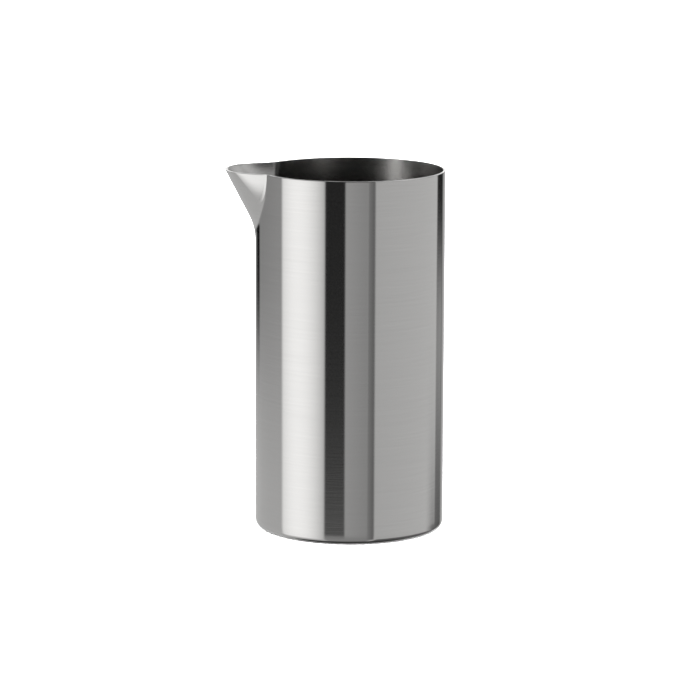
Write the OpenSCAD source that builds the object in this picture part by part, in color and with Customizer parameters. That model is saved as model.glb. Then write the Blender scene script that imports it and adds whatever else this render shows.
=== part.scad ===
// A small steel creamer: a straight round cup with a slanted pouring spout at its rim.
// The origin is the middle of the base, on the table. +Z is up and the spout points along -X.
// Every size is in millimetres.

/* [Body] */
// Outside diameter of the round body
body_d = 55; // [45:0.5:80]
// Height from the table to the rim
body_h = 104.5; // [70:0.5:150]
// Thickness of the sheet that the tube, the pan and the spout are made of
wall = 0.8; // [0.5:0.05:1.4]

/* [Base] */
// Outside radius of the pan's pressed bottom edge
base_edge_r = 1.5; // [1.4:0.1:4]
// Height of the pan's turned-up rim, where the tube starts
base_rim_h = 6; // [5:0.5:14]
// Width of the flat ring that the creamer stands on
foot_w = 7; // [3:0.5:12]
// How far the middle of the base is pressed up from the table
base_recess = 0.6; // [0.2:0.1:1.5]

/* [Spout] */
// Outside radius of the spout's conical nose at the lip, square to the cone's axis
nose_r = 17.7; // [16:0.1:19]
// Lean of the nose's ridge away from upright, in degrees
spout_lean = 27.6; // [20:0.2:36]
// How far the lip stands out past the body at the rim
spout_reach = 8.85; // [6:0.05:11]
// Width over the spout's upright cheeks where they meet the body
cheek_w = 29.7; // [27:0.1:31]
// Angle of each cheek to the pouring direction, in degrees
cheek_angle = 24; // [18:0.5:30]

/* [Welds] */
// Height of the weld ring between the pan and the tube
base_weld_w = 0.8; // [0.4:0.1:2]
// Gap between the spout's cut edge and the tube, filled by the weld
spout_weld_w = 0.5; // [0.3:0.1:1]
// How far the weld's face runs down the wall below the spout's root
root_leg = 2.4; // [1.4:0.1:3.4]
// How far the weld's face runs down the wall below the spout, where the cheeks end
side_leg = 1.2; // [0.8:0.1:2]

/* [Hidden] */
$fn = 96;

// Cutting solids run past what they cut by this much
past = 2;

body_r = body_d / 2;
bore_r = body_r - wall;
tube_bottom = base_rim_h + base_weld_w;

// The flat foot ends where the pressed edge begins
foot_out_r = body_r - base_edge_r;
foot_in_r = foot_out_r - foot_w;

// Inside radius of the pressed edge, limited by the wall
edge_in_r = max(base_edge_r - wall, 0.1);

// The ridge is the spout's outermost line. It runs from the lip down to the root on the wall.
// The nose is a cone with an upright back line, so its axis leans half as much as its ridge.
lip_x = -(body_r + spout_reach);
root_z = body_h - spout_reach / tan(spout_lean);
nose_back_x = lip_x + 2 * nose_r * cos(spout_lean / 2);

// The cheeks meet the wall here, and are this far from the middle plane at the body's axis
cheek_x = -sqrt(pow(body_r, 2) - pow(cheek_w / 2, 2));
cheek_y = cheek_w / 2 - cheek_x * tan(cheek_angle);

// The weld's face is such a cone too. It leans half as much, from a point on the wall below the root.
weld_lean = spout_lean / 2;
weld_toe_z = root_z - root_leg;
weld_lip_x = -(body_r + (body_h - weld_toe_z) * tan(weld_lean));

// It ends at the cheeks, one side leg below the nose, which sets its back line
nose_in = nose_back_x - cheek_x;
nose_rise = (nose_in * cos(spout_lean) + pow(cheek_w / 2 * cos(spout_lean / 2), 2) / nose_in) / sin(spout_lean);
end_z = apex_z(spout_lean, lip_x, nose_back_x) + nose_rise - side_leg;
weld_rise = (end_z - weld_toe_z) * sin(weld_lean) + (body_r + cheek_x) * cos(weld_lean);
weld_back_x = cheek_x + pow(cheek_w / 2 * cos(weld_lean / 2), 2) / weld_rise;

steel = "silver";
filler = "gainsboro";

// Height of a leaning cone's apex, where its upright back line meets its ridge
function apex_z(lean, edge_x, back_x) = body_h - (back_x - edge_x) / tan(lean);

// Ring section: from the bore to the outside of the wall, between two heights
module wall_ring(low, high) {
    rotate_extrude()
        translate([bore_r, low])
            square([wall, high - low]);
}

// Solid round core of the body, grown by a margin on the radius, running past the rim and the table
module body_core(grow) {
    translate([0, 0, -past])
        cylinder(r = body_r + grow, h = body_h + 2 * past);
}

// The part of space that the spout and its seam can fill: the -X side, from below the root up to a height
module spout_zone(top) {
    low = weld_toe_z - past;
    depth = body_r + spout_reach + past;
    width = body_d + 2 * past;
    translate([-depth, -width / 2, low])
        cube([depth, width, top - low]);
}

// Leaning cone between an upright back line at back_x and a ridge that crosses the rim plane at edge_x.
// It is cut to the spout's zone.
module leaning_cone(lean, edge_x, back_x, top) {
    reach = 3 * body_h;
    intersection() {
        spout_zone(top);
        translate([back_x, 0, apex_z(lean, edge_x, back_x)])
            rotate([0, -lean / 2, 0])
                translate([0, 0, past])
                    cylinder(r1 = past * tan(lean / 2), r2 = reach * tan(lean / 2), h = reach - past);
    }
}

// Space between the two upright cheeks, moved in by a margin
module cheek_wedge(inset, top) {
    far_x = lip_x - past;
    near_y = cheek_y - inset / cos(cheek_angle);
    far_y = near_y + far_x * tan(cheek_angle);
    low = weld_toe_z - 2 * past;
    translate([0, 0, low])
        linear_extrude(top - low)
            polygon([[far_x, -far_y], [past, -near_y], [past, near_y], [far_x, far_y]]);
}

// Outside of the spout as a solid, up to a height
module spout_block(top) {
    intersection() {
        leaning_cone(spout_lean, lip_x, nose_back_x, top);
        cheek_wedge(0, top + past);
    }
}

// Hollow of the spout, one wall inside its outer face
module spout_hollow() {
    top = body_h + past;
    intersection() {
        leaning_cone(spout_lean, lip_x + wall / cos(spout_lean), nose_back_x - wall, top);
        cheek_wedge(wall, top + past);
    }
}

// Straight tube with the notch that opens it into the spout
module body_tube() {
    color(steel)
        difference() {
            wall_ring(tube_bottom, body_h);
            spout_block(body_h + past);
        }
}

// Half section of the base pan: flat foot, raised middle, pressed edge and turned-up rim
module pan_section() {
    translate([0, base_recess])
        square([foot_in_r, wall]);
    translate([foot_in_r, 0])
        square([wall, base_recess + wall]);
    translate([foot_in_r, 0])
        square([foot_w, wall]);
    translate([foot_out_r, base_edge_r])
        intersection() {
            difference() {
                circle(r = base_edge_r);
                circle(r = edge_in_r);
            }
            translate([0, -base_edge_r])
                square(base_edge_r);
        }
    translate([bore_r, base_edge_r])
        square([wall, base_rim_h - base_edge_r]);
}

// Pressed bottom of the cup
module base_pan() {
    color(steel)
        rotate_extrude()
            pan_section();
}

// Rolled sheet that stands out of the body wall: a conical nose between two flat cheeks
module spout() {
    color(steel)
        difference() {
            spout_block(body_h);
            spout_hollow();
            body_core(spout_weld_w);
        }
}

// Filler ring between the pan's rim and the tube, ground flush with both
module base_weld() {
    color(filler)
        wall_ring(base_rim_h, tube_bottom);
}

// Filler in the gap under the spout's cut edge
module seam_filler() {
    difference() {
        intersection() {
            spout_block(body_h);
            body_core(spout_weld_w);
        }
        body_core(-wall);
        spout_hollow();
    }
}

// Dressed outer face of the weld, which softens the lower seam and the root
module seam_face() {
    difference() {
        intersection() {
            leaning_cone(weld_lean, weld_lip_x, weld_back_x, body_h);
            cheek_wedge(0, body_h);
        }
        body_core(0);
        spout_block(body_h + past);
    }
}

// Weld along the seam of the spout and the tube
module spout_weld() {
    color(filler)
        union() {
            seam_filler();
            seam_face();
        }
}

body_tube();
base_pan();
spout();
base_weld();
spout_weld();
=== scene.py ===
"""Looks of a small steel creamer: a round cup with a slanted spout, welded from sheet and tube.

Lengths are in metres, in the part's own frame: +Z is up, the origin is on the table under the body's axis,
and the spout points along -X. Each of the five pieces replaces the solid that carries its name.
"""
import logging
import math
from collections.abc import Callable
from dataclasses import dataclass, replace
from enum import Enum

import bmesh
import bpy
import numpy as np
from mathutils import Matrix, Vector


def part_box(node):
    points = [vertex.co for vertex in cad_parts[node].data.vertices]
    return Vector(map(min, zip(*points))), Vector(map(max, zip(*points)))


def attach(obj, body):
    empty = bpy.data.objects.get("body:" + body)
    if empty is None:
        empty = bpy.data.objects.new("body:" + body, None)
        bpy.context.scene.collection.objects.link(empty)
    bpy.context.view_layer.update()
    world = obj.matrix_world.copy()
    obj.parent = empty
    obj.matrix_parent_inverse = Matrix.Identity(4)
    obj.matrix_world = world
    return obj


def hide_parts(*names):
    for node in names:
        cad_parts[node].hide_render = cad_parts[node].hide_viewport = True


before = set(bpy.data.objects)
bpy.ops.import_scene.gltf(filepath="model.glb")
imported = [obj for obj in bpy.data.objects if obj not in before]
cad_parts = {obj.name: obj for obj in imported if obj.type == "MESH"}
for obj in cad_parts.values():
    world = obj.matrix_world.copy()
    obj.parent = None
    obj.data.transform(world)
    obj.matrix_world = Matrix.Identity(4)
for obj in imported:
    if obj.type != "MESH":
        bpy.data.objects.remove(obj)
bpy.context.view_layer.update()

MM = 0.001

log = logging.getLogger("creamer")


class Brush(Enum):
    """The way that the brush ran over a piece."""

    RINGS = "rings round the body's axis"
    LEVEL = "level lines"


class NodeWriter:
    """Adds nodes to a tree and wires them.

    A Mix node has a pair of inputs and an output for each kind of data, so those are picked by their places.
    """

    def __init__(self, tree: bpy.types.NodeTree) -> None:
        """Keep the tree that the nodes go into."""
        self.tree = tree

    def add(self, kind: str, **settings: object) -> bpy.types.Node:
        """Add one node.

        Args:
            kind: The node's type name.
            settings: Properties of the node, by name.

        Returns:
            The new node.
        """
        node = self.tree.nodes.new(kind)
        for name, value in settings.items():
            setattr(node, name, value)
        return node

    def feed(self, socket: bpy.types.NodeSocket, value: object) -> None:
        """Wire an input to another node's output, or set it to a constant.

        Args:
            socket: The input.
            value: An output socket, or the constant.
        """
        if isinstance(value, bpy.types.NodeSocket):
            self.tree.links.new(value, socket)
        else:
            socket.default_value = value

    def math(self, operation: str, *values: object) -> bpy.types.NodeSocket:
        """Add a Math node.

        Args:
            operation: What the node does.
            values: Sockets or numbers, in order.

        Returns:
            The node's result.
        """
        node = self.add("ShaderNodeMath", operation=operation)
        for socket, value in zip(node.inputs, values):
            self.feed(socket, value)
        return node.outputs["Value"]

    def vector(self, operation: str, *values: object) -> bpy.types.NodeSocket:
        """Add a Vector Math node.

        Args:
            operation: What the node does.
            values: Sockets or triples, in order.

        Returns:
            The node's result, a number for the operations that give one.
        """
        node = self.add("ShaderNodeVectorMath", operation=operation)
        for socket, value in zip(node.inputs, values):
            self.feed(socket, value)
        return node.outputs["Value" if operation in {"DOT_PRODUCT", "LENGTH", "DISTANCE"} else "Vector"]

    def split(self, vector: bpy.types.NodeSocket) -> tuple[bpy.types.NodeSocket, ...]:
        """Split a vector into its three numbers.

        Args:
            vector: The vector's socket.

        Returns:
            The sockets of x, y and z.
        """
        node = self.add("ShaderNodeSeparateXYZ")
        self.feed(node.inputs[0], vector)
        return tuple(node.outputs)

    def join(self, x: object, y: object, z: object) -> bpy.types.NodeSocket:
        """Join three numbers into a vector.

        Args:
            x: The first socket or number.
            y: The second.
            z: The third.

        Returns:
            The vector's socket.
        """
        node = self.add("ShaderNodeCombineXYZ")
        for socket, value in zip(node.inputs, (x, y, z)):
            self.feed(socket, value)
        return node.outputs[0]

    def ease(self, value: object, low: float, high: float) -> bpy.types.NodeSocket:
        """Ease smoothly from 0 to 1 while a value runs from low to high.

        Args:
            value: The socket to follow.
            low: Where the result is 0.
            high: Where the result is 1.

        Returns:
            The eased share.
        """
        node = self.add("ShaderNodeMapRange", interpolation_type="SMOOTHSTEP")
        for name, given in (("Value", value), ("From Min", low), ("From Max", high)):
            self.feed(node.inputs[name], given)
        return node.outputs["Result"]

    def blend(self, share: object, first: object, second: object) -> bpy.types.NodeSocket:
        """Mix two numbers.

        Args:
            share: How much of the second number the result holds.
            first: The number at a share of 0.
            second: The number at a share of 1.

        Returns:
            The mixed number.
        """
        node = self.add("ShaderNodeMix", data_type="FLOAT")
        self.feed(node.inputs[0], share)
        self.feed(node.inputs[2], first)
        self.feed(node.inputs[3], second)
        return node.outputs[0]

    def choose(self, share: object, first: object, second: object) -> bpy.types.NodeSocket:
        """Mix two vectors.

        Args:
            share: How much of the second vector the result holds.
            first: The vector at a share of 0.
            second: The vector at a share of 1.

        Returns:
            The mixed vector.
        """
        node = self.add("ShaderNodeMix", data_type="VECTOR")
        self.feed(node.inputs[0], share)
        self.feed(node.inputs[4], first)
        self.feed(node.inputs[5], second)
        return node.outputs[1]


def fresh_tree(owner: bpy.types.Material | bpy.types.World) -> NodeWriter:
    """Empty the node tree of a material or a world.

    Args:
        owner: The material or the world.

    Returns:
        A writer for the empty tree.
    """
    owner.use_nodes = True
    owner.node_tree.nodes.clear()
    return NodeWriter(owner.node_tree)


def add_object(name: str, data: bpy.types.ID) -> bpy.types.Object:
    """Put a new object into the scene.

    Args:
        name: Its name.
        data: Its mesh or camera.

    Returns:
        The new object.
    """
    made = bpy.data.objects.new(name, data)
    bpy.context.scene.collection.objects.link(made)
    return made


HALVINGS = 44


def halve(holds: Callable[[np.ndarray], np.ndarray], low: np.ndarray, high: np.ndarray) -> np.ndarray:
    """Find by halving where a test stops holding.

    Args:
        holds: The test. It holds at the low values and not at the high ones.
        low: Values at which it holds.
        high: Values at which it doesn't.

    Returns:
        The last values at which it holds.
    """
    for _ in range(HALVINGS):
        middle = (low + high) / 2
        held = holds(middle)
        low = np.where(held, middle, low)
        high = np.where(held, high, middle)
    return low


@dataclass(frozen=True)
class SpoutForm:
    """Outside of the spout: a conical nose between two upright cheeks, with soft folds.

    The cone has an upright back line at back_x, so its axis leans half as much as its ridge. A cheek is
    cheek_y from the middle plane at the body's axis and comes in towards the lip by cheek_angle.
    """

    lip_x: float
    rim_z: float
    back_x: float
    lean: float
    cheek_y: float
    cheek_angle: float
    fold: float

    @property
    def apex_z(self) -> float:
        """Height of the cone's apex."""
        return self.rim_z - (self.back_x - self.lip_x) / math.tan(self.lean)

    def inset(self, depth: float) -> "SpoutForm":
        """Move the faces inwards.

        Args:
            depth: How far they move.

        Returns:
            The form inside this one.
        """
        return replace(
            self, lip_x=self.lip_x + depth / math.cos(self.lean), back_x=self.back_x - depth,
            cheek_y=self.cheek_y - depth / math.cos(self.cheek_angle),
        )

    def outside(self, x: np.ndarray, y: np.ndarray, z: np.ndarray) -> np.ndarray:
        """How far points lie outside the spout's face.

        Args:
            x: Their places along the pouring direction.
            y: Their places across it.
            z: Their heights.

        Returns:
            The distances, negative inside.
        """
        half = self.lean / 2
        inwards, upwards = x - self.back_x, z - self.apex_z
        along = upwards * math.cos(half) - inwards * math.sin(half)
        across = np.hypot(inwards * math.cos(half) + upwards * math.sin(half), y)
        nose = across * math.cos(half) - along * math.sin(half)
        cheek = (np.abs(y) - self.cheek_y - x * math.tan(self.cheek_angle)) * math.cos(self.cheek_angle)
        # A smooth maximum of the two rounds the fold between them
        near = np.maximum(self.fold - np.abs(nose - cheek), 0.0) / self.fold
        return np.maximum(nose, cheek) + near**2 * self.fold / 4


@dataclass(frozen=True)
class WallCurve:
    """Curve along which the spout's face, moved in by a depth, meets an upright round wall.

    Shares run from -1 at the rim on the -Y side, through 0 at the root, to 1 at the rim on the +Y side. The
    wall's radius and the depth may differ from share to share.
    """

    form: SpoutForm
    wall_r: np.ndarray | float
    depth: np.ndarray | float = 0.0

    def points(self, share: np.ndarray) -> np.ndarray:
        """Find points on the curve.

        Args:
            share: Where they lie along it.

        Returns:
            One row of x, y, z for each share.
        """
        form, wall_r, depth = self.form, self.wall_r, self.depth
        none = np.zeros_like(share)
        drop = halve(
            lambda fall: form.outside(-wall_r, none, form.rim_z - fall) < -depth,
            none, none + form.rim_z / 2,
        )
        z = form.rim_z - drop * (1 - share**2)
        turn = halve(
            lambda angle: form.outside(-wall_r * np.cos(angle), wall_r * np.sin(angle), z) < -depth,
            none, none + math.pi / 2,
        )
        return np.stack([-wall_r * np.cos(turn), wall_r * np.sin(turn) * np.sign(share), z], axis=-1)


@dataclass(frozen=True)
class CupSizes:
    """Sizes that the pieces share. The overall ones come from the frame."""

    body_r: float
    rim_z: float
    tube_low: float
    pan_top: float
    lip_x: float
    wall: float = 0.8 * MM
    nose_r: float = 17.7 * MM
    spout_lean: float = math.radians(27.6)
    cheek_w: float = 29.7 * MM
    cheek_angle: float = math.radians(24)
    fold: float = 1.3 * MM
    weld_gap: float = 0.5 * MM
    rim_round: float = 0.15 * MM
    segments: int = 480

    @classmethod
    def from_frame(cls) -> "CupSizes":
        """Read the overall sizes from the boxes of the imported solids.

        Returns:
            The sizes.
        """
        tube_low, tube_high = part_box("body_tube")
        _, pan_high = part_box("base_pan")
        spout_low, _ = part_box("spout")
        return cls(pan_high.x, tube_high.z, tube_low.z, pan_high.z, spout_low.x)

    @property
    def bore_r(self) -> float:
        """Inside radius of the tube."""
        return self.body_r - self.wall

    @property
    def cut_r(self) -> float:
        """Radius at which the spout's sheet ends above the weld."""
        return self.body_r + self.weld_gap

    @property
    def spout_form(self) -> SpoutForm:
        """Work out the outside of the spout.

        Returns:
            The form.
        """
        back_x = self.lip_x + 2 * self.nose_r * math.cos(self.spout_lean / 2)
        cheek_x = -math.sqrt(self.body_r**2 - (self.cheek_w / 2) ** 2)
        cheek_y = self.cheek_w / 2 - cheek_x * math.tan(self.cheek_angle)
        return SpoutForm(
            self.lip_x, self.rim_z, back_x, self.spout_lean, cheek_y, self.cheek_angle, self.fold,
        )


def bend(start: np.ndarray, corner: np.ndarray, end: np.ndarray, count: int, pull: float = 1.0) -> np.ndarray:
    """Curve that rounds a corner, a conic arc.

    Args:
        start: Where the curve leaves the first side. Points may be stacked in leading axes.
        corner: The corner itself.
        end: Where it reaches the second side.
        count: Number of points, both ends included.
        pull: How hard the corner pulls. A larger value gives a tighter curve.

    Returns:
        The points, along a new axis before the last.
    """
    step = np.linspace(0.0, 1.0, count)[:, None]
    first = (1 - step) ** 2
    second = 2 * pull * step * (1 - step)
    third = step**2
    top = first * start[..., None, :] + second * corner[..., None, :] + third * end[..., None, :]
    return top / (first + second + third)


def arc(centre: tuple[float, float], radius: float, start: float, end: float, count: int) -> np.ndarray:
    """Round stretch of a section.

    Args:
        centre: Radius and height of the arc's centre.
        radius: The arc's radius.
        start: First angle in degrees, from the outward direction up.
        end: Last angle in degrees.
        count: Number of points, both ends included.

    Returns:
        One row of radius and height for each point.
    """
    angle = np.radians(np.linspace(start, end, count))
    return np.stack([centre[0] + radius * np.cos(angle), centre[1] + radius * np.sin(angle)], axis=-1)


def whole_ring(outline: np.ndarray) -> np.ndarray:
    """Make the section of a shell that no notch cuts down.

    Args:
        outline: One row of radius and height for each row of the shell.

    Returns:
        One row of radius, share and height for each row of the shell. Every share is 1.
    """
    return np.stack([outline[:, 0], np.ones(len(outline)), outline[:, 1]], axis=-1)


class TurnedShell:
    """Geometry Nodes tree that turns a wall section about +Z and trims its top to the spout's notch.

    The section is a mesh of loose points, one for each row of the shell. A point's x is its radius and its z
    its height. Its y is the share of the wall's height at which it stays where the notch cuts the wall down.
    """

    INPUTS = (
        ("Section", "NodeSocketGeometry"),
        ("Segments", "NodeSocketInt"),
        ("Rows", "NodeSocketInt"),
        ("Bottom", "NodeSocketFloat"),
        ("Notch Lean", "NodeSocketFloat"),
        ("Notch Back", "NodeSocketFloat"),
        ("Notch Foot", "NodeSocketFloat"),
        ("Cheek Reach", "NodeSocketFloat"),
        ("Cheek Slope", "NodeSocketFloat"),
        ("Material", "NodeSocketMaterial"),
    )
    MERGE = 0.001 * MM
    NO_NOTCH_Z = 1.0
    GRID = 1.0

    def __init__(self) -> None:
        """Build the tree."""
        self.tree = bpy.data.node_groups.new("turned_shell", "GeometryNodeTree")
        for name, kind in self.INPUTS:
            self.tree.interface.new_socket(name=name, in_out="INPUT", socket_type=kind)
        self.tree.interface.new_socket(name="Shell", in_out="OUTPUT", socket_type="NodeSocketGeometry")
        self.write = NodeWriter(self.tree)
        self.given = self.write.add("NodeGroupInput").outputs
        self._wire()

    def _notch_height(self, x: bpy.types.NodeSocket, y: bpy.types.NodeSocket) -> bpy.types.NodeSocket:
        """Height at which the spout's notch cuts the wall.

        Args:
            x: The wall point's x.
            y: The wall point's y.

        Returns:
            The height, or one far above the rim where the notch doesn't reach.
        """
        do, given = self.write.math, self.given
        inwards = do("SUBTRACT", given["Notch Back"], x)
        level = do("MULTIPLY", inwards, do("COSINE", given["Notch Lean"]))
        half = do("COSINE", do("MULTIPLY", given["Notch Lean"], 0.5))
        sideways = do("DIVIDE", do("POWER", do("MULTIPLY", half, y), 2.0), inwards)
        rise = do("DIVIDE", do("ADD", level, sideways), do("SINE", given["Notch Lean"]))
        between = do("ADD", given["Cheek Reach"], do("MULTIPLY", given["Cheek Slope"], x))
        inside = do("MULTIPLY", do("LESS_THAN", do("ABSOLUTE", y), between), do("LESS_THAN", x, 0.0))
        choice = self.write.add("GeometryNodeSwitch", input_type="FLOAT")
        self.write.feed(choice.inputs["Switch"], inside)
        self.write.feed(choice.inputs["False"], self.NO_NOTCH_Z)
        self.write.feed(choice.inputs["True"], do("ADD", given["Notch Foot"], rise))
        return choice.outputs[0]

    def _wire(self) -> None:
        """Wire the grid, its places, the merge and the finish."""
        write, given = self.write, self.given
        grid = write.add("GeometryNodeMeshGrid")
        write.feed(grid.inputs["Size X"], self.GRID)
        write.feed(grid.inputs["Size Y"], self.GRID)
        write.feed(grid.inputs["Vertices X"], write.math("ADD", given["Segments"], 1.0))
        write.feed(grid.inputs["Vertices Y"], given["Rows"])

        place = write.add("GeometryNodeInputPosition").outputs[0]
        column, row, _ = write.split(place)
        # The grid lies about the origin, so half its size is added
        turn = write.math("MULTIPLY", write.math("ADD", column, self.GRID / 2), math.tau)
        last_row = write.math("SUBTRACT", given["Rows"], 1.0)
        index = write.math("ROUND", write.math("MULTIPLY", write.math("ADD", row, self.GRID / 2), last_row))

        sample = write.add("GeometryNodeSampleIndex", data_type="FLOAT_VECTOR", domain="POINT")
        write.feed(sample.inputs["Geometry"], given["Section"])
        write.feed(sample.inputs["Value"], write.add("GeometryNodeInputPosition").outputs[0])
        write.feed(sample.inputs["Index"], index)
        radius, share, height = write.split(sample.outputs["Value"])

        x = write.math("MULTIPLY", radius, write.math("COSINE", turn))
        y = write.math("MULTIPLY", radius, write.math("SINE", turn))
        top = write.math("MINIMUM", height, self._notch_height(x, y))
        kept = write.math("MULTIPLY", share, write.math("SUBTRACT", top, given["Bottom"]))
        z = write.math("ADD", given["Bottom"], kept)

        move = write.add("GeometryNodeSetPosition")
        write.feed(move.inputs["Geometry"], grid.outputs["Mesh"])
        write.feed(move.inputs["Position"], write.join(x, y, z))
        merge = write.add("GeometryNodeMergeByDistance")
        write.feed(merge.inputs["Geometry"], move.outputs[0])
        write.feed(merge.inputs["Distance"], self.MERGE)
        realize = write.add("GeometryNodeRealizeInstances")
        write.feed(realize.inputs["Geometry"], merge.outputs[0])
        finish = write.add("GeometryNodeSetMaterial")
        write.feed(finish.inputs["Geometry"], realize.outputs[0])
        write.feed(finish.inputs["Material"], given["Material"])
        write.feed(write.add("NodeGroupOutput").inputs[0], finish.outputs[0])

    def turn(self, name: str, section: np.ndarray, sizes: CupSizes, finish: bpy.types.Material,
             notch: SpoutForm | None = None) -> bpy.types.Object:
        """Turn a section into a plain mesh.

        Args:
            name: The piece's name.
            section: One row of radius, share and height for each row of the shell.
            sizes: The shared sizes.
            finish: The piece's material.
            notch: The form that cuts the wall, or None for a whole ring.

        Returns:
            The new object.
        """
        mesh = bpy.data.meshes.new(name)
        mesh.from_pydata([tuple(point) for point in section], [], [])
        piece = add_object(name, mesh)
        modifier = piece.modifiers.new("turned_shell", "NODES")
        modifier.node_group = self.tree
        values = {
            "Segments": sizes.segments,
            "Rows": len(section),
            "Bottom": float(section[:, 2].min() if notch is None else sizes.tube_low),
            "Notch Lean": notch.lean if notch else 0.0,
            "Notch Back": notch.back_x if notch else 0.0,
            "Notch Foot": notch.apex_z if notch else 0.0,
            "Cheek Reach": notch.cheek_y if notch else 0.0,
            "Cheek Slope": math.tan(notch.cheek_angle) if notch else 0.0,
            "Material": finish,
        }
        for item in self.tree.interface.items_tree:
            if item.item_type == "SOCKET" and item.in_out == "INPUT" and item.name in values:
                modifier[item.identifier] = values[item.name]
        shape = piece.evaluated_get(bpy.context.evaluated_depsgraph_get())
        plain = bpy.data.meshes.new_from_object(shape)
        piece.modifiers.clear()
        piece.data = plain
        bpy.data.meshes.remove(mesh)
        plain.name = name
        settle(plain)
        return piece


SMOOTH_BELOW = math.radians(32)


def settle(mesh: bpy.types.Mesh) -> None:
    """Turn a closed mesh's faces outwards and shade it smooth up to its real edges.

    Args:
        mesh: The mesh.
    """
    mesh.calc_loop_triangles()
    corners = np.array([vertex.co for vertex in mesh.vertices])
    triangles = np.array([triangle.vertices[:] for triangle in mesh.loop_triangles])
    first, second, third = (corners[triangles[:, k]] for k in range(3))
    if np.einsum("ij,ij->i", first, np.cross(second, third)).sum() < 0:
        mesh.flip_normals()
    mesh.shade_smooth()
    mesh.set_sharp_from_angle(angle=SMOOTH_BELOW)


def loft(name: str, rings: np.ndarray, finish: bpy.types.Material) -> bpy.types.Object:
    """Skin a row of closed rings and close both ends.

    Args:
        name: The piece's name.
        rings: Points as an array of rings, points and coordinates.
        finish: The piece's material.

    Returns:
        The new object.
    """
    shape = bmesh.new()
    rows = [[shape.verts.new(point) for point in ring] for ring in rings]
    count = len(rows[0])
    for row, following in zip(rows, rows[1:]):
        for k in range(count):
            after = (k + 1) % count
            shape.faces.new((row[k], row[after], following[after], following[k]))
    for ring in (rows[0], rows[-1]):
        shape.faces.new(ring)
    bmesh.ops.remove_doubles(shape, verts=shape.verts, dist=TurnedShell.MERGE)
    # Only the two ends have more than four corners
    bmesh.ops.triangulate(shape, faces=[face for face in shape.faces if len(face.verts) > 4])
    bmesh.ops.recalc_face_normals(shape, faces=shape.faces)
    mesh = bpy.data.meshes.new(name)
    shape.to_mesh(mesh)
    shape.free()
    mesh.materials.append(finish)
    settle(mesh)
    return add_object(name, mesh)


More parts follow.
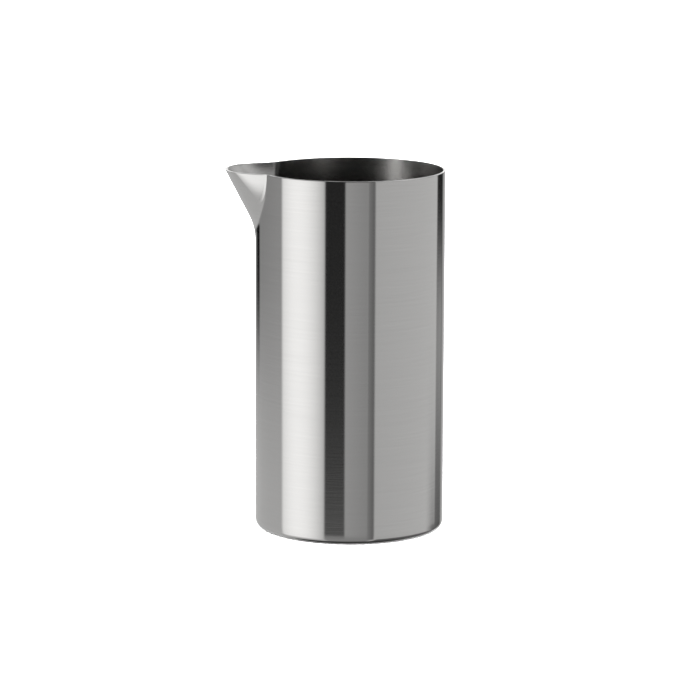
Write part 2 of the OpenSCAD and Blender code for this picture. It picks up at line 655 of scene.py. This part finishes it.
@dataclass(frozen=True)
class BrushedSteel:
    """Stainless steel with the fine lines of a brush.

    The lines are a noise that is long along the brush and short across it, with a coarser layer mixed in.
    They tint the metal a little, change its roughness and raise a very low relief. A face is taken as inside,
    and is rougher, where its normal's part away from the body's axis is less than inside_below. The cut edge
    is dulled over the last edge_depth below the rim.
    """

    name: str
    brush: Brush
    tint: tuple[float, float, float] = (0.62, 0.615, 0.605)
    roughness: float = 0.095
    inside_roughness: float = 0.19
    spread: float = 0.02
    inside_spread: float = 0.16
    inside_below: float = -0.2
    shade: float = 0.03
    relief: float = 0.022
    anisotropic: float = 0.85
    pitch: float = 0.22 * MM
    length: float = 16 * MM
    coarse_lines: float = 0.22
    coarse_length: float = 1.7
    coarse_share: float = 0.28
    noise_detail: float = 2.0
    noise_middle: float = 0.5
    noise_range: tuple[float, float] = (0.25, 0.75)
    edge_roughness: float = 0.2
    edge_depth: float = 0.3 * MM

    def _lines(self, write: NodeWriter, place: bpy.types.NodeSocket, sizes: CupSizes) -> bpy.types.NodeSocket:
        """Noise drawn out along the brush.

        Args:
            write: Where the nodes go.
            place: Object coordinates.
            sizes: The shared sizes.

        Returns:
            A value about noise_middle that varies across the lines.
        """
        x, y, z = write.split(place)
        if self.brush is Brush.RINGS:
            out = write.math("MAXIMUM", write.vector("LENGTH", write.join(x, y, 0.0)), self.pitch)
            x = write.math("MULTIPLY", write.math("DIVIDE", x, out), sizes.body_r)
            y = write.math("MULTIPLY", write.math("DIVIDE", y, out), sizes.body_r)
            z = write.math("ADD", z, out)
        layers = []
        for line_share, length_share in ((1.0, 1.0), (self.coarse_lines, self.coarse_length)):
            along = 1.0 / (self.length * length_share)
            drawn = write.vector("MULTIPLY", write.join(x, y, z), (along, along, line_share / self.pitch))
            noise = write.add("ShaderNodeTexNoise")
            write.feed(noise.inputs["Vector"], drawn)
            write.feed(noise.inputs["Scale"], 1.0)
            write.feed(noise.inputs["Detail"], self.noise_detail)
            layers.append(noise.outputs[0])
        return write.blend(self.coarse_share, *layers)

    def material(self, sizes: CupSizes) -> bpy.types.Material:
        """Build the material.

        Args:
            sizes: The shared sizes.

        Returns:
            The material.
        """
        made = bpy.data.materials.new(self.name)
        write = fresh_tree(made)
        place = write.add("ShaderNodeTexCoord").outputs["Object"]
        lines = self._lines(write, place, sizes)

        ramp = write.add("ShaderNodeValToRGB")
        write.feed(ramp.inputs["Fac"], lines)
        shades = (1 - self.shade, 1 + self.shade)
        for stop, at, share in zip(ramp.color_ramp.elements, self.noise_range, shades):
            stop.position = at
            stop.color = (*(min(1.0, channel * share) for channel in self.tint), 1.0)

        normal = write.add("ShaderNodeNewGeometry").outputs["Normal"]
        x, y, height = write.split(place)
        outwards = write.vector("DOT_PRODUCT", normal, write.vector("NORMALIZE", write.join(x, y, 0.0)))
        inside = write.math("LESS_THAN", outwards, self.inside_below)
        spread = write.blend(inside, self.spread, self.inside_spread)
        away = write.math("MULTIPLY", write.math("SUBTRACT", lines, self.noise_middle), spread)
        plain = write.math("ADD", away, write.blend(inside, self.roughness, self.inside_roughness))
        at_rim = write.ease(height, sizes.rim_z - self.edge_depth, sizes.rim_z)
        roughness = write.blend(at_rim, plain, self.edge_roughness)

        relief = write.add("ShaderNodeBump")
        write.feed(relief.inputs["Strength"], self.relief)
        write.feed(relief.inputs["Distance"], self.pitch)
        write.feed(relief.inputs["Height"], lines)

        facing = place if self.brush is Brush.RINGS else write.vector("ADD", normal, place)
        around = write.vector("NORMALIZE", write.vector("CROSS_PRODUCT", (0.0, 0.0, 1.0), facing))
        tangent = write.vector("NORMALIZE", write.vector("CROSS_PRODUCT", normal, around))
        if self.brush is Brush.RINGS:
            tangent = write.choose(inside, tangent, around)

        steel = write.add("ShaderNodeBsdfPrincipled")
        write.feed(steel.inputs["Metallic"], 1.0)
        write.feed(steel.inputs["Anisotropic"], self.anisotropic)
        write.feed(steel.inputs["Base Color"], ramp.outputs["Color"])
        write.feed(steel.inputs["Roughness"], roughness)
        write.feed(steel.inputs["Normal"], relief.outputs["Normal"])
        write.feed(steel.inputs["Tangent"], tangent)
        write.feed(write.add("ShaderNodeOutputMaterial").inputs["Surface"], steel.outputs[0])
        return made


@dataclass
class BodyTube:
    """Straight tube of the cup, notched at the rim for the spout.

    The notch's edge is tucked into the weld. Rows at support below the rim's rounding, and at flat_in on the
    flat between its two roundings, keep the wall's shading out of the rim's.
    """

    sizes: CupSizes
    finish: bpy.types.Material
    tuck: float = 0.6 * MM
    wall_rows: int = 24
    support: float = 0.15 * MM
    flat_in: float = 0.04 * MM
    corner_points: int = 5

    def section(self) -> np.ndarray:
        """Section of the wall, up the outside, over the rounded rim and down the inside.

        Returns:
            One row of radius, share and height for each row of the shell.
        """
        size = self.sizes
        low_edge = size.rim_z - size.rim_round
        near_top = 1.0 - self.support / (low_edge - size.tube_low)
        shares = np.append(np.linspace(0.0, 1.0, self.wall_rows)[:-1], (near_top, 1.0))
        up = [(size.body_r, share, low_edge) for share in shares]
        down = [(size.bore_r, share, low_edge) for share in shares[::-1]]
        outer = bend(
            np.array((size.body_r, low_edge)), np.array((size.body_r, size.rim_z)),
            np.array((size.body_r - size.rim_round, size.rim_z)), self.corner_points,
        )
        inner = bend(
            np.array((size.bore_r + size.rim_round, size.rim_z)), np.array((size.bore_r, size.rim_z)),
            np.array((size.bore_r, low_edge)), self.corner_points,
        )
        flat = [(radius, size.rim_z) for radius in (outer[-1, 0] - self.flat_in, inner[0, 0] + self.flat_in)]
        over = [(radius, 1.0, height) for radius, height in (*outer[1:], *flat, *inner[:-1])]
        return np.array([*up, *over, *down, up[0]])

    def build(self, shell: TurnedShell) -> bpy.types.Object:
        """Turn the tube and cut its notch."""
        notch = self.sizes.spout_form.inset(self.tuck)
        return shell.turn("body_tube_brushed", self.section(), self.sizes, self.finish, notch)


@dataclass
class BasePan:
    """Pressed bottom of the cup: a flat foot, a raised middle, a round edge and a turned-up rim."""

    sizes: CupSizes
    finish: bpy.types.Material
    edge_r: float = 1.5 * MM
    foot_w: float = 7.0 * MM
    recess: float = 0.6 * MM
    step_r: float = 0.3 * MM
    step_ease: float = 0.3
    step_points: int = 5
    arc_points: int = 9
    rim_rows: int = 4

    def section(self) -> np.ndarray:
        """Section of the pan from the axis out along the underside, up the rim and back along the floor.

        Returns:
            One row of radius, share and height for each row of the shell.
        """
        size = self.sizes
        foot_out = size.body_r - self.edge_r
        foot_in = foot_out - self.foot_w
        step_out = foot_in + size.wall
        step_r, eased = self.step_r, self.step_r * self.step_ease
        under = [np.array([(0.0, self.recess), (foot_in / 2, self.recess)])]
        under.append(arc((foot_in - step_r, self.recess - step_r), step_r, 90, 0, self.step_points))
        under.append(np.array([(foot_in + eased, 0.0), (foot_in + step_r, 0.0)]))
        under.append(np.array([((foot_in + foot_out) / 2, 0.0)]))
        under.append(arc((foot_out, self.edge_r), self.edge_r, -90, 0, self.arc_points))
        heights = np.linspace(self.edge_r, size.pan_top, self.rim_rows)[1:]
        under.append(np.stack([np.full_like(heights, size.body_r), heights], axis=-1))
        over = [np.stack([np.full_like(heights, size.bore_r), heights[::-1]], axis=-1)]
        over.append(arc((foot_out, self.edge_r), self.edge_r - size.wall, 0, -90, self.arc_points))
        over.append(np.array([((foot_in + foot_out) / 2, size.wall)]))
        floor_z = self.recess + size.wall
        over.append(np.array([(step_out + step_r, size.wall), (step_out, size.wall + eased)]))
        over.append(arc((step_out - step_r, floor_z - step_r), step_r, 0, 90, self.step_points))
        over.append(np.array([(foot_in / 2, floor_z), (0.0, floor_z)]))
        return whole_ring(np.concatenate(under + over))

    def build(self, shell: TurnedShell) -> bpy.types.Object:
        """Turn the pan."""
        return shell.turn("base_pan_pressed", self.section(), self.sizes, self.finish)


@dataclass
class BaseWeld:
    """Weld ring between the pan and the tube, ground flush outside and left as a low bead inside."""

    sizes: CupSizes
    finish: bpy.types.Material
    bead: float = 0.12 * MM
    bead_points: int = 7

    def section(self) -> np.ndarray:
        """Section of the ring.

        Returns:
            One row of radius, share and height for each row of the shell.
        """
        size = self.sizes
        low, high = size.pan_top, size.tube_low
        # The curve comes half-way to its corner
        bead = bend(
            np.array((size.bore_r, high)), np.array((size.bore_r - 2 * self.bead, (low + high) / 2)),
            np.array((size.bore_r, low)), self.bead_points,
        )
        corners = np.array([(size.body_r, low), (size.body_r, high)])
        return whole_ring(np.concatenate([corners, bead, corners[:1]]))

    def build(self, shell: TurnedShell) -> bpy.types.Object:
        """Turn the ring."""
        return shell.turn("base_weld_ring", self.section(), self.sizes, self.finish)


@dataclass
class Spout:
    """Rolled sheet that stands out of the wall, with rounded edges at the rim.

    Turns are measured about an upright line at centre_x, from the ridge. The rim's rounding takes at most the
    share most_round of the sheet's height, which runs out towards the seam.
    """

    sizes: CupSizes
    finish: bpy.types.Material
    centre_x: float = -20 * MM
    reach: float = 30 * MM
    columns: int = 161
    wall_rows: int = 18
    corner_points: int = 5
    most_round: float = 0.3
    flat_in: float = 0.04 * MM

    def face(self, depth: float, turn: np.ndarray, z: np.ndarray) -> np.ndarray:
        """Points on the spout's face.

        Args:
            depth: How far inside the outer face they lie.
            turn: Their turns from the ridge.
            z: Their heights.

        Returns:
            Points as an array with x, y, z along its last axis.
        """
        form = self.sizes.spout_form
        across, sideways = np.cos(turn), np.sin(turn)
        out = halve(
            lambda far: form.outside(self.centre_x - far * across, far * sideways, z) < -depth,
            np.zeros_like(turn), np.full_like(turn, self.reach),
        )
        return np.stack(np.broadcast_arrays(self.centre_x - out * across, out * sideways, z), axis=-1)

    def rings(self) -> np.ndarray:
        """Rings round the sheet's section: up the outside, over the rim, down the inside.

        Returns:
            Points as an array of columns, points and coordinates.
        """
        size = self.sizes
        share = np.linspace(-1.0, 1.0, self.columns)
        step = np.linspace(0.0, 1.0, self.wall_rows)
        faces = []
        for depth in (0.0, size.wall):
            low = WallCurve(size.spout_form, size.cut_r, depth).points(share)
            low_turn = np.arctan2(low[:, 1], self.centre_x - low[:, 0])
            rim_turn = share * low_turn[-1]
            rounding = np.minimum(size.rim_round, (size.rim_z - low[:, 2]) * self.most_round)
            z = low[:, 2, None] + (size.rim_z - rounding - low[:, 2])[:, None] * step
            turn = low_turn[:, None] + (rim_turn - low_turn)[:, None] * step
            lip = self.face(depth, rim_turn, np.full_like(share, size.rim_z))
            faces.append((self.face(depth, turn, z), lip, rounding[:, None]))
        (outer, outer_lip, outer_round), (inner, inner_lip, inner_round) = faces
        across = inner_lip - outer_lip
        across /= np.linalg.norm(across, axis=-1, keepdims=True)
        first = bend(outer[:, -1], outer_lip, outer_lip + across * outer_round, self.corner_points)
        second = bend(inner_lip - across * inner_round, inner_lip, inner[:, -1], self.corner_points)
        flat = np.stack([first[:, -1] + across * self.flat_in, second[:, 0] - across * self.flat_in], axis=1)
        return np.concatenate([outer, first[:, 1:], flat, second[:, :-1], inner[:, ::-1]], axis=1)

    def build(self) -> bpy.types.Object:
        """Skin the spout."""
        return loft("spout_rolled", self.rings(), self.finish)


@dataclass
class SpoutWeld:
    """Dressed weld along the seam of the spout and the tube.

    Its face is narrow and tight at the rim, wide and open at the root. The seam's inner edge is rounded.
    """

    sizes: CupSizes
    finish: bpy.types.Material
    rim_leg: float = 0.18 * MM
    root_leg: float = 1.75 * MM
    tuck: float = 0.4 * MM
    proud: float = 0.02 * MM
    stations: int = 161
    face_points: int = 11
    edge_points: int = 7
    edge_share: float = 0.6
    rim_pull: float = 2.2
    root_pull: float = 0.9

    def rings(self) -> np.ndarray:
        """Rings round the weld's section, from one rim under the root to the other.

        Returns:
            Points as an array of stations, points and coordinates.
        """
        size, form = self.sizes, self.sizes.spout_form
        share = np.linspace(-1.0, 1.0, self.stations)
        leg = self.rim_leg + (self.root_leg - self.rim_leg) * (1 - share**2)
        inside_r = size.bore_r - self.proud
        on_spout = WallCurve(form, size.body_r + leg).points(share)
        on_tube = WallCurve(form, size.body_r, -leg).points(share)
        seam = WallCurve(form, size.body_r).points(share)
        tube_inside = WallCurve(form, inside_r, -self.tuck).points(share)
        inner_edge = WallCurve(form, inside_r, size.wall).points(share)
        spout_inside = WallCurve(form, size.cut_r, size.wall).points(share)
        spout_cut = WallCurve(form, size.cut_r).points(share)

        faces = []
        for k, at in enumerate(np.abs(share)):
            pull = self.root_pull + (self.rim_pull - self.root_pull) * at
            faces.append(bend(on_spout[k], seam[k], on_tube[k], self.face_points, pull))
        edge_start = inner_edge + (tube_inside - inner_edge) * self.edge_share
        edge_end = inner_edge + (spout_inside - inner_edge) * self.edge_share
        edge = bend(edge_start, inner_edge, edge_end, self.edge_points)
        corners = [points[:, None] for points in (seam, tube_inside)]
        closing = [points[:, None] for points in (spout_inside, spout_cut)]
        return np.concatenate([np.array(faces), *corners, edge, *closing], axis=1)

    def build(self) -> bpy.types.Object:
        """Skin the weld."""
        return loft("spout_weld_dressed", self.rings(), self.finish)


@dataclass(frozen=True)
class Card:
    """A light or dark card that stands round the creamer, as its steel sees it.

    Angles are in degrees. Azimuths run from the camera's side towards the right, elevations up from the
    level. Each end has its own brightness, and glow is added in the middle. The sides blur over soft, the
    other edges over fade.
    """

    name: str
    start: float
    end: float
    bottom: float
    top: float
    start_level: float
    end_level: float
    glow: float = 0.0
    soft: float = 2.5
    fade: float = 2.0

    def show(
        self, write: NodeWriter, azimuth: bpy.types.NodeSocket, elevation: bpy.types.NodeSocket,
        seen: bpy.types.NodeSocket,
    ) -> bpy.types.NodeSocket:
        """Stand the card in front of what is seen so far.

        Args:
            write: Where the nodes go.
            azimuth: Azimuth of the seen direction, in degrees.
            elevation: Its elevation, in degrees.
            seen: The brightness behind the card.

        Returns:
            The brightness with the card.
        """
        do, soft, fade = write.math, self.soft, self.fade
        sides = do(
            "MULTIPLY", write.ease(azimuth, self.start - soft, self.start + soft),
            write.ease(azimuth, self.end + soft, self.end - soft),
        )
        edges = do(
            "MULTIPLY", write.ease(elevation, self.bottom - fade, self.bottom + fade),
            write.ease(elevation, self.top + fade, self.top - fade),
        )
        share = do("DIVIDE", do("SUBTRACT", azimuth, self.start), self.end - self.start)
        plain = write.blend(share, self.start_level, self.end_level)
        # The bulge is a quarter high in the middle of the card
        bulge = do("MULTIPLY", share, do("SUBTRACT", 1.0, share))
        bright = do("ADD", plain, do("MULTIPLY", bulge, 4 * self.glow))
        return write.blend(do("MULTIPLY", sides, edges), seen, bright)


@dataclass
class Studio:
    """Camera, floor and light."""

    azimuth: float = 2.35
    elevation: float = 10.718
    roll: float = 0.228
    distance: float = 931.2 * MM
    aim_right: float = 0.068 * MM
    aim_z: float = 51.483 * MM
    focal_px: float = 3200.0
    image_px: float = 700.0
    sensor_mm: float = 36.0
    clip_near: float = 10 * MM
    clip_far: float = 24.0
    floor_half: float = 6.0
    floor_drop: float = 0.2 * MM
    floor_shade: tuple[float, float, float] = (0.9, 0.9, 0.9)
    dome: float = 7.0
    horizon: float = 3.0
    room: float = 0.01
    table: float = 0.575
    cards: tuple[Card, ...] = (
        Card("shade on the table, right", 34, 150, -95, -11, 0.13, 0.13, fade=4),
        Card("shade on the table, front", -32, 27, -95, -14, 0.33, 0.30, fade=3),
        Card("shade under the cup", -190, 190, -99, -54, 0.05, 0.05, fade=9),
        Card("open ceiling", -190, 190, 68, 99, 0.22, 0.22, fade=8),
        Card("grey wall, left", -163, -90, -11, 0, 0.26, 0.37),
        Card("lit wall, left", -165, -90, 2, 25, 0.45, 0.45),
        Card("black flag, left", -155, -142.5, -10.5, 0, 0.0, 0.0, fade=0.9),
        Card("white back, left", -190, -164, -14, 16, 1.60, 0.55, soft=4),
        Card("white back, right", 147, 190, -14, 16, 0.20, 1.55),
        Card("soft light, right", 30.3, 130.2, -25, 2, 0.57, 0.67, fade=8),
        Card("shaded foot of the soft light", 116, 150, -22, -13.5, 0.22, 0.10, soft=10),
        Card("lit ceiling, right", 31, 165, 2, 27, 0.35, 0.30, glow=0.42, fade=3),
        Card("strip above, right", 35, 135, 40, 56, 2.30, 2.30, soft=12),
        Card("black flag, right", 130.2, 148.5, -9.3, 1, 0.0, 0.0, fade=1.2),
        Card("grey card, front", -5.6, 21.5, -16, 1, 0.44, 0.35, soft=1.4, fade=3),
        Card("grey card's shaded end", 21.5, 30.3, -26, 1, 0.28, 0.145, soft=1.4, fade=6),
        Card("black flag, front", -30.5, -5.6, -15.3, 1, 0.02, 0.02, soft=1.4, fade=2.8),
        Card("main softbox, left", -90, -31, -28, 20, 1.03, 0.66, glow=0.50, fade=14),
    )

    def camera(self) -> None:
        """Set the camera where the photo was taken from."""
        azimuth, elevation, roll = map(math.radians, (self.azimuth, self.elevation, self.roll))
        out = math.cos(elevation)
        back = Vector((math.sin(azimuth) * out, -math.cos(azimuth) * out, math.sin(elevation)))
        level = Vector((math.cos(azimuth), math.sin(azimuth), 0.0))
        upright = back.cross(level)
        right = math.cos(roll) * level + math.sin(roll) * upright
        up = back.cross(right)
        data = bpy.data.cameras.new("camera")
        data.sensor_width = self.sensor_mm
        data.lens = self.focal_px * self.sensor_mm / self.image_px
        data.clip_start, data.clip_end = self.clip_near, self.clip_far
        place = Matrix((right, up, back)).transposed().to_4x4()
        place.translation = level * self.aim_right + Vector((0.0, 0.0, self.aim_z)) + back * self.distance
        camera = add_object("camera", data)
        camera.matrix_world = place
        bpy.context.scene.camera = camera

    def floor(self) -> None:
        """Lay the pale floor, which the steel doesn't mirror."""
        half = self.floor_half
        corners = ((-half, -half), (half, -half), (half, half), (-half, half))
        mesh = bpy.data.meshes.new("floor")
        mesh.from_pydata([(x, y, -self.floor_drop) for x, y in corners], [], [(0, 1, 2, 3)])
        pale = bpy.data.materials.new("pale_floor")
        write = fresh_tree(pale)
        matt = write.add("ShaderNodeBsdfDiffuse")
        write.feed(matt.inputs["Color"], (*self.floor_shade, 1.0))
        write.feed(write.add("ShaderNodeOutputMaterial").inputs["Surface"], matt.outputs[0])
        mesh.materials.append(pale)
        floor = add_object("floor", mesh)
        floor.visible_glossy = False

    def light(self) -> None:
        """Light the steel from cards all round, and the floor from an even dome."""
        world = bpy.data.worlds.new("studio")
        bpy.context.scene.world = world
        write = fresh_tree(world)
        towards = write.add("ShaderNodeTexCoord").outputs["Generated"]
        side = math.radians(self.azimuth)
        right = write.vector("DOT_PRODUCT", towards, (math.cos(side), math.sin(side), 0.0))
        near = write.vector("DOT_PRODUCT", towards, (math.sin(side), -math.cos(side), 0.0))
        azimuth = write.math("DEGREES", write.math("ARCTAN2", right, near))
        _, _, rise = write.split(towards)
        elevation = write.math("DEGREES", write.math("ARCSINE", rise))
        seen = write.blend(write.ease(elevation, -self.horizon, self.horizon), self.table, self.room)
        for card in self.cards:
            seen = card.show(write, azimuth, elevation, seen)
        cards = write.add("ShaderNodeBackground")
        write.feed(cards.inputs["Color"], seen)
        dome = write.add("ShaderNodeBackground")
        write.feed(dome.inputs["Color"], (1.0, 1.0, 1.0, 1.0))
        write.feed(dome.inputs["Strength"], self.dome)
        path = write.add("ShaderNodeLightPath")
        mix = write.add("ShaderNodeMixShader")
        from_floor = write.math("MAXIMUM", path.outputs["Is Camera Ray"], path.outputs["Is Diffuse Ray"])
        write.feed(mix.inputs[0], from_floor)
        write.feed(mix.inputs[1], cards.outputs[0])
        write.feed(mix.inputs[2], dome.outputs[0])
        write.feed(write.add("ShaderNodeOutputWorld").inputs["Surface"], mix.outputs[0])
        bpy.context.scene.view_settings.view_transform = "Standard"

    def set_up(self) -> None:
        """Set the camera, the floor and the light."""
        self.camera()
        self.floor()
        self.light()


def dress(piece: bpy.types.Object, node: str) -> None:
    """Put a finished piece in the place of its solid.

    Args:
        piece: The finished piece.
        node: The solid's node.
    """
    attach(piece, "root")
    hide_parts(node)
    log.info("%s replaces %s, %d faces", piece.name, node, len(piece.data.polygons))


def main() -> None:
    """Build the creamer and its studio."""
    logging.basicConfig(level=logging.INFO, format="%(name)s: %(message)s")
    sizes = CupSizes.from_frame()
    Studio().set_up()
    rings = BrushedSteel("brushed_steel", Brush.RINGS).material(sizes)
    level = BrushedSteel("spout_steel", Brush.LEVEL).material(sizes)
    dressed = BrushedSteel("weld_steel", Brush.LEVEL, pitch=0.3 * MM).material(sizes)
    shell = TurnedShell()
    dress(BodyTube(sizes, rings).build(shell), "body_tube")
    dress(BasePan(sizes, rings).build(shell), "base_pan")
    dress(BaseWeld(sizes, dressed).build(shell), "base_weld")
    dress(Spout(sizes, level).build(), "spout")
    dress(SpoutWeld(sizes, dressed).build(), "spout_weld")


if __name__ == "__main__":
    main()
